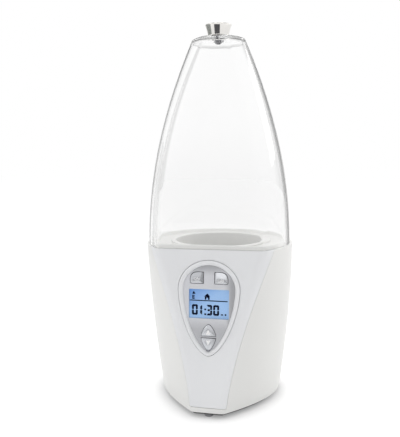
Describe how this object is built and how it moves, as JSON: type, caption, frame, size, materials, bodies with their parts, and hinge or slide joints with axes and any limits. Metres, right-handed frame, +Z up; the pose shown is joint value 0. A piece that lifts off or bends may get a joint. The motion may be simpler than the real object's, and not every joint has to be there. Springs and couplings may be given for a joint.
{
  "type": "bottle warmer sterilizer",
  "caption": "Table-top baby bottle warmer and steam sterilizer: tapered white base with teardrop control face and blue display, round water well and tall clear lift-off dome with a metal knob.",
  "frame": {"origin": "on the table plane, under the centre of the overall box", "axes": "+Z up along the dome's axis, -Y out of the control front, +X to the right as seen from the front"},
  "size_m": [0.1308, 0.125, 0.3298],
  "materials": {
    "white_plastic": "satin",
    "panel_plastic": "satin",
    "well_plastic": "satin",
    "clear_dome": "gloss",
    "chrome": "polished",
    "silver_face": "satin",
    "silver_key": "gloss",
    "clear_window": "gloss",
    "lcd_blue": "gloss",
    "backlight_white": "satin",
    "board_green": "satin",
    "board_tan": "satin",
    "dark_plastic": "satin",
    "black_rubber": "matte",
    "seal_rubber": "matte",
    "plate_steel": "satin",
    "screw_steel": "satin",
    "heater_body": "matte",
    "brass_pin": "polished",
    "part_yellow": "matte",
    "part_blue": "gloss"
  },
  "bodies": {
    "base": {"main_shell": "white_plastic", "front_panel": "panel_plastic", "deck_ring": "white_plastic", "water_well": "well_plastic", "heating_plate": "plate_steel", "plate_seal": "seal_rubber", "heater_ring": "heater_body", "heater_clamp": "screw_steel", "clamp_screws": "screw_steel", "thermal_fuse": "heater_body", "temperature_sensor": "heater_body", "base_cover": "dark_plastic", "front_foot": "black_rubber", "left_foot": "black_rubber", "right_foot": "black_rubber", "base_screws": "screw_steel", "bezel_ring": "white_plastic", "control_plate": "silver_face", "lcd_window": "clear_window", "lcd_glass": "lcd_blue", "lcd_backlight": "backlight_white", "display_board": "board_green", "board_screws": "screw_steel", "tact_switches": "dark_plastic", "power_board": "board_tan", "power_board_screws": "screw_steel", "transformer": "part_yellow", "capacitor": "part_blue", "relay": "part_blue", "buzzer": "dark_plastic", "power_inlet": "dark_plastic", "inlet_pins": "brass_pin"},
    "dome": {"dome_cover": "clear_dome", "knob": "chrome", "knob_seal": "seal_rubber", "knob_stud": "screw_steel", "knob_washer": "screw_steel", "knob_nut": "screw_steel"},
    "on_key": {"on_button": "silver_key"},
    "off_key": {"off_button": "silver_key"},
    "up_key": {"up_button": "silver_key"},
    "down_key": {"down_button": "silver_key"}
  },
  "joints": [
    {"name": "dome_lift", "type": "slide", "parent": "base", "child": "dome", "axis": [0, 0, 1], "range_m": [0, 0.25]},
    {"name": "on_press", "type": "slide", "parent": "base", "child": "on_key", "axis": [0, 0.995, -0.0995], "range_m": [0, 0.001], "stiffness_N_per_m": 500, "springref_m": -0.0005},
    {"name": "off_press", "type": "slide", "parent": "base", "child": "off_key", "axis": [0, 0.995, -0.0995], "range_m": [0, 0.001], "stiffness_N_per_m": 500, "springref_m": -0.0005},
    {"name": "up_press", "type": "slide", "parent": "base", "child": "up_key", "axis": [0, 0.995, -0.0995], "range_m": [0, 0.001], "stiffness_N_per_m": 500, "springref_m": -0.0005},
    {"name": "down_press", "type": "slide", "parent": "base", "child": "down_key", "axis": [0, 0.995, -0.0995], "range_m": [0, 0.001], "stiffness_N_per_m": 500, "springref_m": -0.0005}
  ]
}
